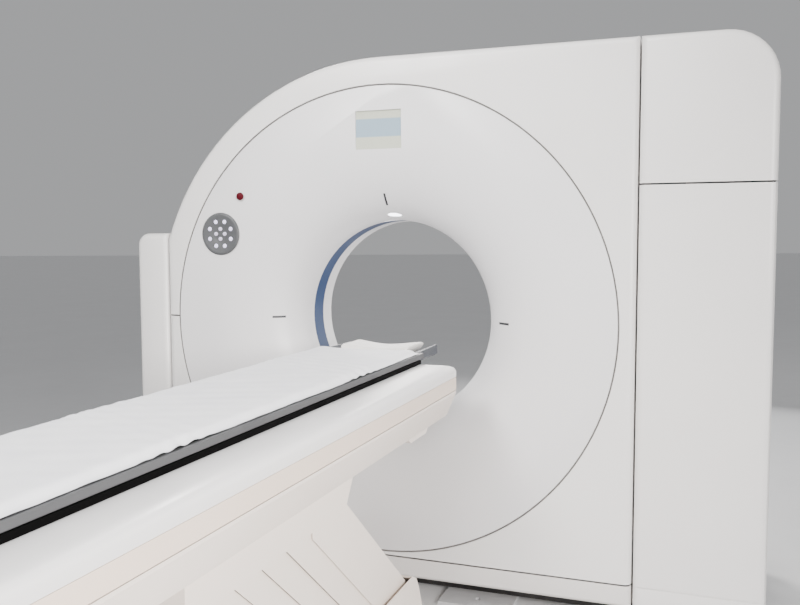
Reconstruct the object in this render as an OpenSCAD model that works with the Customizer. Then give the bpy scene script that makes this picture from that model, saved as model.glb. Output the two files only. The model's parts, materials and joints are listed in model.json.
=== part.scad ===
// A whole-body scanner with a tilting ring gantry and a lifting patient table.
// Millimetres. Z is up, X runs across the gantry and Y runs along the bore,
// from the table towards the back of the gantry. The origin is on the floor,
// under the point where the scan plane meets the axis of the bore.

/* [Gantry] */
// Height of the bore's axis above the floor
iso_h = 965; // [940:1:1010]
// Diameter of the bore
bore_d = 700; // [640:1:730]
// Distance from the flat front to the scan plane
gantry_front = 260; // [250:1:290]
// Distance from the scan plane to the flat back
gantry_rear = 500; // [480:1:540]
// Height of the gantry's covers above the floor
floor_gap = 76; // [60:1:90]
// Height of the bottom skirt, up to its seam
skirt_h = 74; // [66:1:77]
// How much smaller the arch's radius is than the axis's height
arch_margin = 70; // [40:1:80]
// How much narrower the sides are than the arch
shoulder_cut = 46; // [25:1:55]
// Width of the seams between covers
seam_gap = 5; // [3:0.5:7]
// From the seam round the front cover to the edge of the arch
disc_margin = 95; // [92:1:115]
// Width of the flat ring round the front funnel
flat_ring = 150; // [120:1:220]
// Depth of the front funnel
bell_depth = 190; // [150:1:200]
// Where the back funnel starts, behind the scan plane
rear_bell_y = 112; // [80:1:120]
// Width of the flat ring round the back funnel
rear_ring = 30; // [26:1:60]
// How much smaller the round back cover is than the front one
rear_margin = 120; // [100:1:140]
// Half of the width of the scan window
window_half = 40; // [30:1:50]
// Wall of the gantry covers
cover_wall = 5; // [3:0.5:7]
// Rounding of the covers' outer edges
edge_round = 22; // [12:1:30]
// How much higher the back of the skirt ends than its front
rear_rise = 189; // [150:1:200]

/* [Front controls] */
// From the seam round the front cover down to the display's centre
display_inset = 148.5; // [125:0.5:160]
// Width of the display
display_w = 165; // [140:1:200]
// Height of the display
display_h = 129; // [100:1:140]
// Depth of the display below the cover
display_recess = 5; // [2:0.5:8]
// Angle of the control panel from the top of the front cover, to the left
panel_turn = 63.81; // [60:0.01:68]
// From the seam round the front cover to the control panel's centre
panel_inset = 113.5; // [105:0.5:120]
// Radius of the control panel
panel_r = 77; // [65:1:85]
// How far the control panel stands out
panel_proud = 7; // [4:0.5:12]
// Travel of the panel's keys
key_travel = 2; // [1:0.1:3]
// Angle of the stop button from the top of the front cover, to the left
stop_turn = 50.55; // [46:0.01:53]
// From the seam round the front cover to the stop button's centre
stop_inset = 112.3; // [100:0.1:120]
// Diameter of the stop button
stop_d = 28; // [20:1:40]
// Travel of the stop button
stop_travel = 4; // [2:0.5:5]

/* [Gantry stands] */
// Width of the cabinet on the right
cabinet_w = 391; // [350:1:440]
// Radius of the cabinet's top corner
cabinet_corner = 150; // [100:1:180]
// Height of the seam between the cabinet's covers, above the axis
cabinet_seam = 448; // [400:1:500]
// Width of the cover on the left stand
left_cover_w = 131; // [126:1:180]
// Top of the left stand's cover above the axis
left_cover_top = 306; // [280:1:340]
// Radius of the left cover's top corner
left_corner = 45; // [20:1:60]
// Radius of the trunnion pins that the gantry tilts on
trunnion_r = 45; // [35:1:50]

/* [Rotor] */
// How much smaller the drum is than the front cover
drum_margin = 20; // [15:1:40]
// Front face of the drum's disc, behind the scan plane
drum_disc_y = 82; // [80:1:84]
// Radius of the rolling circle of the main bearing
bearing_r = 470; // [455:1:490]
// Space between the drum's hub and the detector
detector_gap = 24; // [22:1:40]
// Half of the fan beam's angle
fan_angle = 26; // [22:0.5:27]
// Radius of the tube's housing, as a part of the space between hub and rim
tube_part = 0.304; // [0.25:0.001:0.31]
// Turns of the motor pulley for one turn of the drum
drive_ratio = 15; // [12:1:18]

/* [Table lift] */
// Height of the lower pivots above the floor
lower_pivot_z = 196; // [185:1:205]
// Distance of the front arm's lower pivot in front of the scan plane
front_pivot_y = 725; // [715:1:740]
// Length of the lift arms between pivots
arm_l = 660; // [650:1:665]
// Slope of the lift arms
lift_angle = 40; // [38:0.5:41]
// Distance between the front arm and the rear arm
arm_spacing = 513; // [500:1:520]
// Radius of the pivot shafts
shaft_r = 20; // [16:1:22]
// Width of the panels that ride on the lift arms
shroud_w = 142; // [138:1:146]
// Height of the table's base cover
base_h = 253; // [245:1:260]
// Half of the outer width of the table's base cover
base_half_w = 260; // [258:1:275]
// Distance of the base cover's foot in front of the scan plane
base_front = 505; // [495:1:515]
// Distance of the base cover's back end in front of the scan plane
base_back = 2000; // [1990:1:2100]

/* [Couch] */
// Height of the couch's flat top below the axis of the bore
couch_top_drop = 118; // [114:1:121]
// Height of the couch's underside below the axis of the bore
couch_bottom_drop = 279; // [275:1:282]
// Distance of the couch's front end from the scan plane
couch_front = 384; // [380:1:400]
// Length of the couch
couch_l = 2450; // [2350:1:2600]
// Half of the width of the couch
couch_half_w = 315; // [305:1:330]
// Distance of the upper seam below the axis of the bore
upper_seam = 151.5; // [148:0.5:155]
// Distance of the lower seam below the axis of the bore
lower_seam = 194; // [190:0.5:198]
// Wall of the couch's covers
couch_wall = 4; // [3:0.5:5]
// Half of the width of the cradle
cradle_half_w = 193; // [185:1:200]
// Length of the cradle
cradle_l = 2360; // [2200:1:2400]
// How far the cradle's head end stands out past the couch
cradle_reach = 33; // [20:1:40]
// Thickness of the cradle
cradle_t = 18; // [14:1:20]
// How far the cradle sags below its lips
cradle_dish = 50; // [40:1:54]
// Length of the head holder past the cradle
head_holder_l = 251; // [200:1:255]
// Thickness of the mattress above the cradle's lips
mattress_rise = 18; // [10:1:30]

/* [Hidden] */

// Small clearances: between a cover and what carries it, and in a running fit
seat_gap = 0.3;
run_gap = 0.05;
bore_r = bore_d / 2;
front_y = -gantry_front;
far = 4000;

// Gantry
arch_r = iso_h - arch_margin;
gantry_half_w = arch_r - shoulder_cut;
skirt_drop = iso_h - floor_gap;
skirt_seam = skirt_drop - skirt_h;
rear_drop = skirt_drop - rear_rise;
disc_r = arch_r - disc_margin;
bell_r = disc_r - flat_ring;
rear_disc_r = disc_r - rear_margin;
rear_bell_r = rear_disc_r - rear_ring;
display_z = disc_r - display_inset;
panel_x = (disc_r - panel_inset) * sin(panel_turn);
panel_z = (disc_r - panel_inset) * cos(panel_turn);
stop_x = (disc_r - stop_inset) * sin(stop_turn);
stop_z = (disc_r - stop_inset) * cos(stop_turn);
half_seam = seam_gap / 2;
rise_y = 200;
frame_y0 = 150;
frame_y1 = 172;
split_y = (frame_y0 + frame_y1) / 2;
seal_w = 12;
seal_t = 6;
rear_gap = 0.8;
button_stem_r = 6;
key_r = 7;
key_ring_r = 18;
lit_key_r = 6.5;
lit_ring_r = 47;
trunnion_plate_t = 30;
trunnion_plate_x = gantry_half_w - cover_wall - 19;
trunnion_end = gantry_half_w + seam_gap + cover_wall + 88;
trunnion_hole_r = trunnion_r + 18;
cover_fit = cover_wall + seat_gap;

// Stands
cabinet_left = gantry_half_w + seam_gap;
cabinet_right = cabinet_left + cabinet_w;
stand_x0 = cabinet_left + cover_wall + 12;
stand_t = 54;
plinth_h = floor_gap - 6;
rail_h = 20;
pad_t = 12;
pad_x0 = 210;
pad_x1 = 460;
pad_y0 = 70;
anchor_x = (pad_x0 + pad_x1) / 2;
anchor_y = 195;
anchor_hole_r = 9;

// Tilt drive, with involute teeth
gear_teeth = 180;
pinion_teeth = 18;
gear_r = 240;
pinion_r = gear_r * pinion_teeth / gear_teeth;
gear_module = 2 * gear_r / gear_teeth;
gear_x0 = stand_x0 + stand_t + 6;
gear_t = 25;
backlash = 0.25;
pressure_angle = 20;
pinion_z = iso_h - gear_r - pinion_r;

// Rotor
disc_t = 30;
disc_back_y = drum_disc_y + disc_t;
rim_t = 12;
rim_y = -20;
drum_hub_r = 400;
drum_r = disc_r - drum_margin;
rotor_room = drum_r - rim_t - drum_hub_r;
tube_r = tube_part * rotor_room;
tube_z = drum_r - rim_t - 31 - tube_r;
focus_r = tube_z - 0.75 * tube_r;
detector_r = focus_r + drum_hub_r + detector_gap;
pulley_r = drum_r / drive_ratio;
motor_x = gantry_half_w - 114;
motor_z = 125 - skirt_seam;
belt_y0 = 30;
belt_y1 = 60;
belt_t = 4;

// Table
upper_pivot_y = -front_pivot_y - arm_l * cos(lift_angle);
upper_pivot_z = lower_pivot_z + arm_l * sin(lift_angle);
front_arm_x = 180;
rear_arm_x = 156;
arm_t = 20;
arm_w = 44;
boss_r = shaft_r + 18;
hanger_x0 = 138;
hanger_x1 = 152;
base_plate_x0 = 138;
base_plate_x1 = 152;
shroud_x1 = 243;
slat_t = 3;
slat_step = 5.5;
slat_pitch = (arm_spacing * sin(lift_angle) - shroud_w + 10) / 3;
slat_w = slat_pitch + 10;
slat_pivot_z = 115;
slat_pivot_r = 6;
slat_line = 62;
// Upright step at the top of the first groove
panel_hook = 50;
skirt_low_drop = 368;
skirt_front_y = -1071;
skirt_back_y = -1800;
recess_drop = 215;
skirt_t = 4;
skirt_x1 = base_half_w - 9;
actuator_s = 300;
actuator_v = 20;
actuator_y = -front_pivot_y - 40;
actuator_z = lower_pivot_z - 75;
actuator_pin_r = 10;
rod_r = 14;
cylinder_r = 27;
cradle_lip_drop = 87;
cradle_lip_h = 17.7;
cradle_back = -couch_front + cradle_reach - cradle_l;
cradle_front = -couch_front + cradle_reach;
slot_half_w = 160;
tray_drop = 175;

// Points along an arc
function arc_points(cx, cz, r, a0, a1, n) =
    [for (i = [0:n]) let(a = a0 + (a1 - a0) * i / n) [cx + r * cos(a), cz + r * sin(a)]];

// Outline of the tilting part, inset by d: flat right side, arched left shoulder
function tilt_outline(d) = let(r = arch_r - d, x = gantry_half_w - d)
    concat([[-x, d - skirt_drop], [x, d - skirt_drop], [x, r]],
        arc_points(0, 0, r, 90, acos(-x / r), 22));

// Outline of the cabinet, inset by d, with its rounded top corner
function cabinet_outline(d) = let(x0 = cabinet_left + d, x1 = cabinet_right - d,
        z1 = arch_r - d, r = cabinet_corner - d)
    concat([[x0, d - skirt_drop], [x1, d - skirt_drop]],
        arc_points(x1 - r, z1 - r, r, 0, 90, 10), [[x0, z1]]);

// Outline of the left stand's cover, inset by d
function left_outline(d) = let(x1 = -cabinet_left - d, x0 = -cabinet_left - left_cover_w + d,
        z1 = left_cover_top - d, r = left_corner - d)
    concat([[x0, d - skirt_drop], [x1, d - skirt_drop], [x1, z1]],
        arc_points(x0 + r, z1 - r, r, 90, 180, 8));

// Section of the couch, inset by d: soft shoulders and a tucked-in underside
function couch_outline(d) = let(x = couch_half_w - d, top = -couch_top_drop - d,
        low = -couch_bottom_drop + d, side = [[33, low], [27, low + 11], [0, -lower_seam - 8],
        [0, top - 15], [7, top - 5], [22, top - 1], [42, top]])
    concat([for (p = side) [x - p[0], p[1]]],
        [for (i = [len(side) - 1:-1:0]) [side[i][0] - x, side[i][1]]]);

// A ring of points at one depth, and a closed skin through a stack of rings
function ring(points, y) = [for (p = points) [p[0], y, p[1] + iso_h]];
module skin(rings) {
    n = len(rings[0]);
    last = (len(rings) - 1) * n;
    polyhedron(points = [for (r = rings) each r], faces = concat(
        [[for (j = [n - 1:-1:0]) j]],
        [for (i = [0:len(rings) - 2], j = [0:n - 1]) let(k = (j + 1) % n)
            [i * n + j, i * n + k, (i + 1) * n + k, (i + 1) * n + j]],
        [[for (j = [0:n - 1]) last + j]]));
}

// An outline carried from y0 to y1, with edges rounded by r0 and r1, and inset by d
module rounded_body(outline, y0, y1, r0, r1, d = 0) {
    steps = 4;
    skin(concat(
        [for (s = [0:steps]) let(a = 90 * s / steps)
            ring(outline(d + r0 * (1 - sin(a))), y0 + r0 * (1 - cos(a)))],
        [for (s = [steps:-1:0]) let(a = 90 * s / steps)
            ring(outline(d + r1 * (1 - sin(a))), y1 - r1 * (1 - cos(a)))]));
}

// A shape drawn in X and Z about the bore's axis, given depth from y0 to y1
module upright(y0, y1) {
    translate([0, y1, iso_h]) rotate([90, 0, 0]) linear_extrude(y1 - y0) children();
}

// A profile of [radius, y], turned about the bore's axis
module turned(angle = 360) {
    translate([0, 0, iso_h]) rotate([-90, 0, 0]) rotate_extrude(angle = angle, $fn = 144) children();
}

// A shape drawn in Y and Z, given width from x0 to x1
module sideways(x0, x1) {
    translate([x0, 0, 0]) rotate([90, 0, 90]) linear_extrude(x1 - x0) children();
}

// A block between two corners, with heights given from the bore's axis
module block(low, high) {
    translate([low[0], low[1], low[2] + iso_h]) cube([high[0] - low[0], high[1] - low[1], high[2] - low[2]]);
}

// The same piece on both sides of the middle plane
module both_sides() {
    children();
    mirror([1, 0, 0]) children();
}

// Gantry covers

// Space under the sloping back of the skirt, raised by d
module under_slope(d) {
    slope = (skirt_drop - rear_drop) / (gantry_rear - rise_y);
    lift = d * sqrt(1 + slope * slope);
    y0 = rise_y - 60;
    y1 = gantry_rear + 20;
    low = iso_h - skirt_drop - 100;
    sideways(-far, far) polygon([[y0, low], [y1, low],
        [y1, iso_h - skirt_drop + slope * (y1 - rise_y) + lift],
        [y0, iso_h - skirt_drop + slope * (y0 - rise_y) + lift]]);
}

// The whole skin of the tilting part, with round openings for its front and back covers
module tilt_shell() {
    inner_round = edge_round - cover_wall;
    difference() {
        rounded_body(function(d) tilt_outline(d), front_y, gantry_rear, edge_round, edge_round);
        difference() {
            rounded_body(function(d) tilt_outline(d), front_y + cover_wall, gantry_rear - cover_wall,
                inner_round, inner_round, cover_wall);
            under_slope(cover_wall);
        }
        under_slope(0);
        upright(front_y - 1, front_y + edge_round) circle(disc_r + half_seam, $fn = 120);
        upright(gantry_rear - edge_round, gantry_rear + 1) circle(rear_disc_r + rear_gap, $fn = 120);
        translate([-far / 2, 0, iso_h]) rotate([0, 90, 0]) cylinder(r = trunnion_hole_r, h = far, $fn = 48);
    }
}

module arch_cover() {
    color("whitesmoke") intersection() {
        tilt_shell();
        difference() {
            block([-far, -far, half_seam - skirt_seam], [far, split_y - half_seam, far]);
            block([-far, -far, -far], [half_seam, far, half_seam]);
        }
    }
}

module lower_left_panel() {
    color("whitesmoke") intersection() {
        tilt_shell();
        block([-far, -far, half_seam - skirt_seam], [-half_seam, split_y - half_seam, -half_seam]);
    }
}

module bottom_skirt() {
    color("gainsboro") intersection() {
        tilt_shell();
        block([-far, -far, -far], [far, far, -skirt_seam - half_seam]);
    }
}

module rear_shell() {
    color("gainsboro") intersection() {
        tilt_shell();
        block([-far, split_y + half_seam, half_seam - skirt_seam], [far, far, far]);
    }
}

// The funnel's curve at parameter t, moved d into the wall
function bell(t, d) = [bore_r + (bell_r - bore_r) * (1 - sin(t)) + d * sin(t),
    front_y + bell_depth * (1 - cos(t)) + d * cos(t)];

module front_cover() {
    rim = disc_r - half_seam;
    steps = 16;
    color("whitesmoke") difference() {
        turned() polygon(concat([[rim, front_y + cover_wall], [rim, front_y + 3], [rim - 1, front_y + 1],
            [rim - 3, front_y]],
            [for (i = [0:steps]) bell(90 * i / steps, 0)],
            [[bore_r, -window_half], [bore_r + cover_wall, -window_half]],
            [for (i = [steps:-1:0]) bell(90 * i / steps, cover_wall)]));
        upright(front_y - 1, front_y + 30)
            translate([-display_w / 2, display_z - display_h / 2]) square([display_w, display_h]);
        upright(front_y - 1, front_y + 30) translate([-panel_x, panel_z]) circle(panel_r - 9, $fn = 60);
        upright(front_y - 1, front_y + 30) translate([-stop_x, stop_z])
            circle(button_stem_r + seat_gap, $fn = 32);
        for (a = [0, 90, -90]) laser_slot(a, 0);
        lamp_slot(0);
    }
}

// Slot for an alignment laser, cut along the funnel at angle a; d makes it smaller
module laser_slot(a, d) {
    translate([0, 0, iso_h]) rotate([0, a, 0])
        translate([-4 + d, front_y + 20, bore_r + 50 + d]) cube([8 - 2 * d, 170, 40 - 2 * d]);
}

// Curved slot for the lamp over the patient, beside the scan window
module lamp_slot(d) {
    half = 9;
    translate([0, 0, iso_h]) rotate([0, -90 - half, 0]) rotate([-90, 0, 0])
        rotate_extrude(angle = 2 * half, $fn = 144)
            translate([bore_r - 2, -window_half - 26 + d]) square([cover_wall + 4, 14 - 2 * d]);
}

module bore_lights() {
    // The windows follow the funnel, a little below its surface
    color("maroon") for (a = [0, 90, -90]) intersection() {
        laser_slot(a, seat_gap);
        turned() polygon(concat([for (i = [0:16]) bell(90 * i / 16, 1)],
            [for (i = [16:-1:0]) bell(90 * i / 16, cover_wall)]));
    }
    color("white") intersection() {
        lamp_slot(seat_gap);
        turned() translate([bore_r + 1, -far]) square([cover_wall - 1, 2 * far]);
    }
}

module rear_cover() {
    lip = 6;
    slope = (rear_bell_r - bore_r) / (gantry_rear - 18 - rear_bell_y);
    w = cover_wall;
    outer = [[bore_r, window_half], [bore_r, rear_bell_y], [bore_r + lip, rear_bell_y + 14],
        [rear_bell_r - 12, gantry_rear - 22], [rear_bell_r, gantry_rear - 6],
        [rear_bell_r + 12, gantry_rear], [rear_disc_r, gantry_rear]];
    color("gainsboro") turned() polygon(concat(outer, [[rear_disc_r, gantry_rear - w],
        [rear_bell_r + 13, gantry_rear - w], [rear_bell_r + 7, gantry_rear - 10],
        [rear_bell_r - 6, gantry_rear - 28], [bore_r + lip + w, rear_bell_y + 12],
        [bore_r + w, rear_bell_y - 2], [bore_r + w, window_half]]));
}

// Dark ring behind the front seam, which joins the round cover to the covers round it
module cover_seal() {
    color("dimgray") turned()
        translate([disc_r - seal_w, front_y + cover_wall]) square([2 * seal_w, seal_t]);
}

module scan_window() {
    color("midnightblue") turned() translate([bore_r, -window_half]) square([3, 2 * window_half]);
}

module display_screen() {
    w = display_w - 2 * seat_gap;
    h = display_h - 2 * seat_gap;
    color("honeydew") upright(front_y + display_recess, front_y + display_recess + 12)
        translate([-w / 2, display_z - h / 2]) square([w, h]);
}

// Directions of the four keys in the middle of the panel
module at_panel() {
    translate([-panel_x, 0, iso_h + panel_z]) children();
}

module control_panel() {
    color("slategray") difference() {
        at_panel() rotate([-90, 0, 0]) difference() {
            rotate_extrude($fn = 96) polygon([[0, front_y - panel_proud + 5],
                [30, front_y - panel_proud + 5], [34, front_y - panel_proud + 3],
                [panel_r - 16, front_y - panel_proud + 2], [panel_r - 10, front_y - panel_proud],
                [panel_r - 4, front_y - panel_proud + 1], [panel_r, front_y - 2], [panel_r, front_y - seat_gap],
                [panel_r - 9 - seat_gap, front_y - seat_gap],
                [panel_r - 9 - seat_gap, front_y + 14], [0, front_y + 14]]);
            for (a = [0:90:270]) rotate([0, 0, a])
                translate([key_ring_r, 0, front_y - 20]) cylinder(r = key_r + seat_gap, h = 29, $fn = 32);
            for (a = [22.5:45:360]) rotate([0, 0, a])
                translate([lit_ring_r, 0, front_y - 20]) cylinder(r = lit_key_r, h = 17, $fn = 32);
        }
    }
}

// One round key, with its stem in the panel, a quarter turn apart for each direction
module direction_key(angle) {
    top = front_y - panel_proud + 1;
    color("lavender") at_panel() rotate([-90, 0, 0]) rotate([0, 0, angle]) translate([key_ring_r, 0, 0])
        rotate_extrude($fn = 32) polygon([[0, top - 1], [key_r - 2, top - 0.6], [key_r, top + 1],
            [key_r, front_y + 9 - key_travel - seat_gap], [0, front_y + 9 - key_travel - seat_gap]]);
}
module key_up() direction_key(-90);
module key_down() direction_key(90);
module key_in() direction_key(0);
module key_out() direction_key(180);

module stop_button() {
    r = stop_d / 2;
    y0 = front_y - stop_travel - seat_gap;
    color("firebrick") translate([-stop_x, 0, iso_h + stop_z]) rotate([-90, 0, 0])
        rotate_extrude($fn = 48) polygon([[0, y0 - 8], [r * 0.5, y0 - 7.3], [r * 0.85, y0 - 5.5],
            [r, y0 - 3], [r, y0], [button_stem_r, y0], [button_stem_r, front_y + 22], [0, front_y + 22]]);
}

// Stands, cabinet and floor frame

module base_frame() {
    plinth = [for (s = [-1, 1]) s > 0 ? [cabinet_left + 10, cabinet_right - 12]
        : [-cabinet_left - left_cover_w + 12, -cabinet_left - 10]];
    color("darkslategray") difference() {
        union() {
            for (p = plinth) translate([p[0], front_y + 40, 0])
                cube([p[1] - p[0], gantry_rear - front_y - 80, plinth_h]);
            for (s = [-1, 1]) translate([plinth[0][0], s * 100 - 30, pad_t])
                cube([plinth[1][1] - plinth[0][0], 60, rail_h]);
            for (sx = [-1, 1], sy = [-1, 1])
                translate([sx * anchor_x - (pad_x1 - pad_x0) / 2, sy > 0 ? pad_y0 : -gantry_front, 0])
                    cube([pad_x1 - pad_x0, gantry_front - pad_y0, pad_t]);
        }
        for (sx = [-1, 1], sy = [-1, 1]) translate([sx * anchor_x, sy * anchor_y, -1])
            cylinder(r = anchor_hole_r, h = pad_t + 2, $fn = 32);
    }
}

// Tapered upright in Y and Z, with the trunnion's bore at its head
module stand_frame(x0, x1) {
    head = trunnion_r + 45;
    difference() {
        union() {
            sideways(x0, x1) polygon([[front_y + 60, plinth_h], [gantry_rear - 70, plinth_h],
                [head, iso_h], [-head, iso_h]]);
            translate([x0, 0, iso_h]) rotate([0, 90, 0]) cylinder(r = head, h = x1 - x0, $fn = 64);
        }
        translate([x0 - 1, 0, iso_h]) rotate([0, 90, 0])
            cylinder(r = trunnion_r + run_gap, h = x1 - x0 + 2, $fn = 64);
        sideways(x0 - 1, x1 + 1) polygon([[front_y + 130, plinth_h + 70], [gantry_rear - 160, plinth_h + 70],
            [40, iso_h - 230], [-40, iso_h - 230]]);
    }
}

module left_stand() {
    color("lightslategray") {
        stand_frame(-stand_x0 - stand_t, -stand_x0);
        upright(frame_y0, frame_y1) difference() {
            intersection() {
                polygon(left_outline(cover_fit));
                translate([-far, plinth_h - iso_h]) square([2 * far, 2 * far]);
            }
            polygon([[-cabinet_left - left_cover_w + 40, -420], [-cabinet_left - 40, -420],
                [-cabinet_left - 40, 120], [-cabinet_left - left_cover_w + 40, 120]]);
        }
    }
}

module right_stand() {
    x0 = cabinet_left + 60;
    x1 = cabinet_right - 60;
    bar = 60;
    low = 150 - skirt_drop;
    tall = (arch_r - 135 - low - 3 * bar) / 4;
    color("lightslategray") {
        stand_frame(stand_x0, stand_x0 + stand_t);
        upright(frame_y0, frame_y1) difference() {
            intersection() {
                polygon(cabinet_outline(cover_fit));
                translate([-far, plinth_h - iso_h]) square([2 * far, 2 * far]);
            }
            for (i = [0:3]) translate([x0 + 60, low + i * (tall + bar)]) square([x1 - x0 - 60, tall]);
            // Room for the toothed sector as the gantry tilts
            translate([stand_x0 + stand_t, -gear_r - 14])
                square([gear_x0 + gear_t + 5 - stand_x0 - stand_t, gear_r - 16]);
        }
    }
}

// Hollow skin of a stand, from an outline, with a hole for the trunnion in its inner wall
module stand_skin(outline, x_wall) {
    difference() {
        rounded_body(outline, front_y, gantry_rear, edge_round, edge_round);
        rounded_body(outline, front_y + cover_wall, gantry_rear - cover_wall,
            edge_round - cover_wall, edge_round - cover_wall, cover_wall);
        block([-far, front_y + 40 - seam_gap, -iso_h], [far, gantry_rear - 40 + seam_gap,
            cover_wall + 1 - skirt_drop]);
        translate([x_wall, 0, iso_h]) rotate([0, 90, 0])
            cylinder(r = trunnion_hole_r, h = 40, center = true, $fn = 48);
    }
}

module left_stand_cover() {
    color("whitesmoke") stand_skin(function(d) left_outline(d), -cabinet_left);
}

module cabinet_upper_cover() {
    color("whitesmoke") intersection() {
        stand_skin(function(d) cabinet_outline(d), cabinet_left);
        block([0, -far, cabinet_seam + half_seam], [far, far, far]);
    }
}

module cabinet_lower_cover() {
    groove = 3;
    color("whitesmoke") difference() {
        intersection() {
            stand_skin(function(d) cabinet_outline(d), cabinet_left);
            block([0, -far, -far], [far, far, cabinet_seam - half_seam]);
        }
        // Shadow line that carries the skirt's seam across the cabinet
        block([0, front_y - 1, -skirt_seam - half_seam], [far, front_y + groove, half_seam - skirt_seam]);
        block([cabinet_right - groove, -far, -skirt_seam - half_seam], [far, far, half_seam - skirt_seam]);
    }
}

module power_unit() {
    x0 = stand_x0 + stand_t + 75;
    x1 = cabinet_right - 40;
    z1 = pinion_z - plinth_h - 131;
    fins = 8;
    color("silver") difference() {
        translate([x0, front_y + 60, plinth_h]) cube([x1 - x0, frame_y0 - front_y - 60, z1]);
        for (i = [0:fins - 1]) translate([x0 + 16, front_y + 59, plinth_h + 60 + i * 52])
            cube([x1 - x0 - 32, 12, 26]);
    }
}

// Tilt drive

// A point on an involute from base radius rb, at radius r, turned by a
function involute(rb, r, a) = let(t = sqrt(pow(r / rb, 2) - 1), q = t * 180 / PI - atan(t) + a)
    [r * cos(q), r * sin(q)];

// Outline of n involute teeth out of z, centred on the X axis, for pitch radius r
function tooth_points(z, r, n, play) = let(m = 2 * r / z, rb = r * cos(pressure_angle), ra = r + 0.9 * m,
        rf = r - 1.15 * m, ri = max(rb, rf) + 0.001,
        t0 = sqrt(pow(r / rb, 2) - 1), flank = t0 * 180 / PI - atan(t0),
        half = 90 / z - play / r * 90 / PI)
    [for (k = [0:n - 1]) let(c = (k - (n - 1) / 2) * 360 / z, back = c - half - flank) each concat(
        rf < rb ? [rf * [cos(back), sin(back)]] : [],
        [for (i = [0:3]) involute(rb, ri + (ra - ri) * i / 3, back)],
        [for (i = [3:-1:0]) let(p = involute(rb, ri + (ra - ri) * i / 3, back), a = 2 * c - atan2(p[1], p[0]),
            q = norm(p)) [q * cos(a), q * sin(a)]],
        rf < rb ? [rf * [cos(2 * c - back), sin(2 * c - back)]] : [])];

module tilt_sector() {
    n = 33;
    rf = gear_r - 1.15 * gear_module;
    color("dimgray") translate([gear_x0, 0, iso_h]) difference() {
        union() {
            rotate([90, 0, 90]) linear_extrude(gear_t) union() {
                rotate(-90) polygon(concat([[120, 0]], tooth_points(gear_teeth, gear_r, n, backlash)));
                circle(trunnion_r + 30, $fn = 64);
            }
        }
        translate([-1, 0, 0]) rotate([0, 90, 0]) cylinder(r = trunnion_r, h = gear_t + 2, $fn = 64);
        for (s = [-1, 1]) translate([-1, s * 42, -165]) rotate([0, 90, 0])
            cylinder(r = 20, h = gear_t + 2, $fn = 32);
    }
}

module tilt_pinion() {
    color("gray") translate([gear_x0, 0, pinion_z]) {
        rotate([90, 0, 90]) linear_extrude(gear_t)
            rotate(90) polygon(tooth_points(pinion_teeth, pinion_r, pinion_teeth, backlash));
        rotate([0, 90, 0]) cylinder(r = 12, h = gear_t + 22, $fn = 40);
    }
}

module tilt_gearmotor() {
    body_x = gear_x0 + gear_t + 8;
    color("slategray") difference() {
        union() {
            translate([body_x, 0, pinion_z]) rotate([0, 90, 0]) cylinder(r = 55, h = 70, $fn = 64);
            translate([body_x + 70, 0, pinion_z]) rotate([0, 90, 0]) cylinder(r = 46, h = 90, $fn = 64);
            // Arm under the pinion, fixed to the stand
            sideways(stand_x0 + stand_t, body_x + 60)
                polygon([[-50, pinion_z - 100], [50, pinion_z - 100], [50, pinion_z - 36], [-50, pinion_z - 36]]);
        }
        translate([body_x - 1, 0, pinion_z]) rotate([0, 90, 0]) cylinder(r = 12 + run_gap, h = 30, $fn = 40);
    }
}

// Tilting frame and the rotor's drive

// Pocket in the frame plate between two radii and two angles
module ring_pocket(r0, r1, a0, a1) {
    polygon(concat(arc_points(0, 0, r1, a0, a1, 8), arc_points(0, 0, r0, a1, a0, 8)));
}

module tilt_frame() {
    hole_r = bearing_r - 42;
    color("lightsteelblue") difference() {
        union() {
            upright(frame_y0, frame_y1) difference() {
                polygon(tilt_outline(cover_fit));
                circle(hole_r, $fn = 120);
                for (a = [200:35:340]) ring_pocket(bearing_r + 90, disc_r - 60, a - 12, a + 12);
                for (a = [30:40:150]) ring_pocket(bearing_r + 90, disc_r - 60, a - 12, a + 12);
                for (sx = [-1, 1]) translate([sx * 740 - 60, -830]) square([120, 90]);
            }
            both_sides() {
                block([trunnion_plate_x - trunnion_plate_t, -75, -150], [trunnion_plate_x, frame_y1, 150]);
                translate([trunnion_plate_x - 1, 0, iso_h]) rotate([0, 90, 0])
                    cylinder(r = trunnion_r, h = trunnion_end - trunnion_plate_x + 1, $fn = 64);
            }
        }
        upright(frame_y0 - 1, frame_y1 + 1) translate([motor_x, motor_z]) circle(18, $fn = 40);
    }
}

module main_bearing_outer() {
    color("silver") turned() polygon([[bearing_r, frame_y0 - 34], [bearing_r + 50, frame_y0 - 34],
        [bearing_r + 50, frame_y0], [bearing_r, frame_y0]]);
}

module brush_block() {
    z1 = slip_r1() - 12;
    color("saddlebrown") translate([0, 0, iso_h]) rotate([0, -90, 0]) {
        translate([-55, disc_back_y + 14 + seat_gap, slip_r0() + 12])
            cube([110, frame_y0 - disc_back_y - 14 - seat_gap, z1 - slip_r0() - 12]);
    }
}
function slip_r0() = bearing_r + 130;
function slip_r1() = drum_r - 35;

module drive_motor() {
    color("dimgray") translate([motor_x, frame_y1, iso_h + motor_z]) rotate([-90, 0, 0]) difference() {
        union() {
            cylinder(r = 62, h = 130, $fn = 64);
            translate([-66, -66, 0]) cube([132, 132, 14]);
        }
        translate([0, 0, -1]) cylinder(r = 14 + run_gap, h = 41, $fn = 40);
    }
}

module motor_pulley() {
    color("silver") translate([motor_x, 0, iso_h + motor_z]) rotate([-90, 0, 0]) {
        translate([0, 0, belt_y0 - 4]) cylinder(r = pulley_r, h = belt_y1 - belt_y0 + 8, $fn = 96);
        translate([0, 0, belt_y1]) cylinder(r = 14, h = frame_y1 + 38 - belt_y1, $fn = 40);
    }
}

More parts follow.
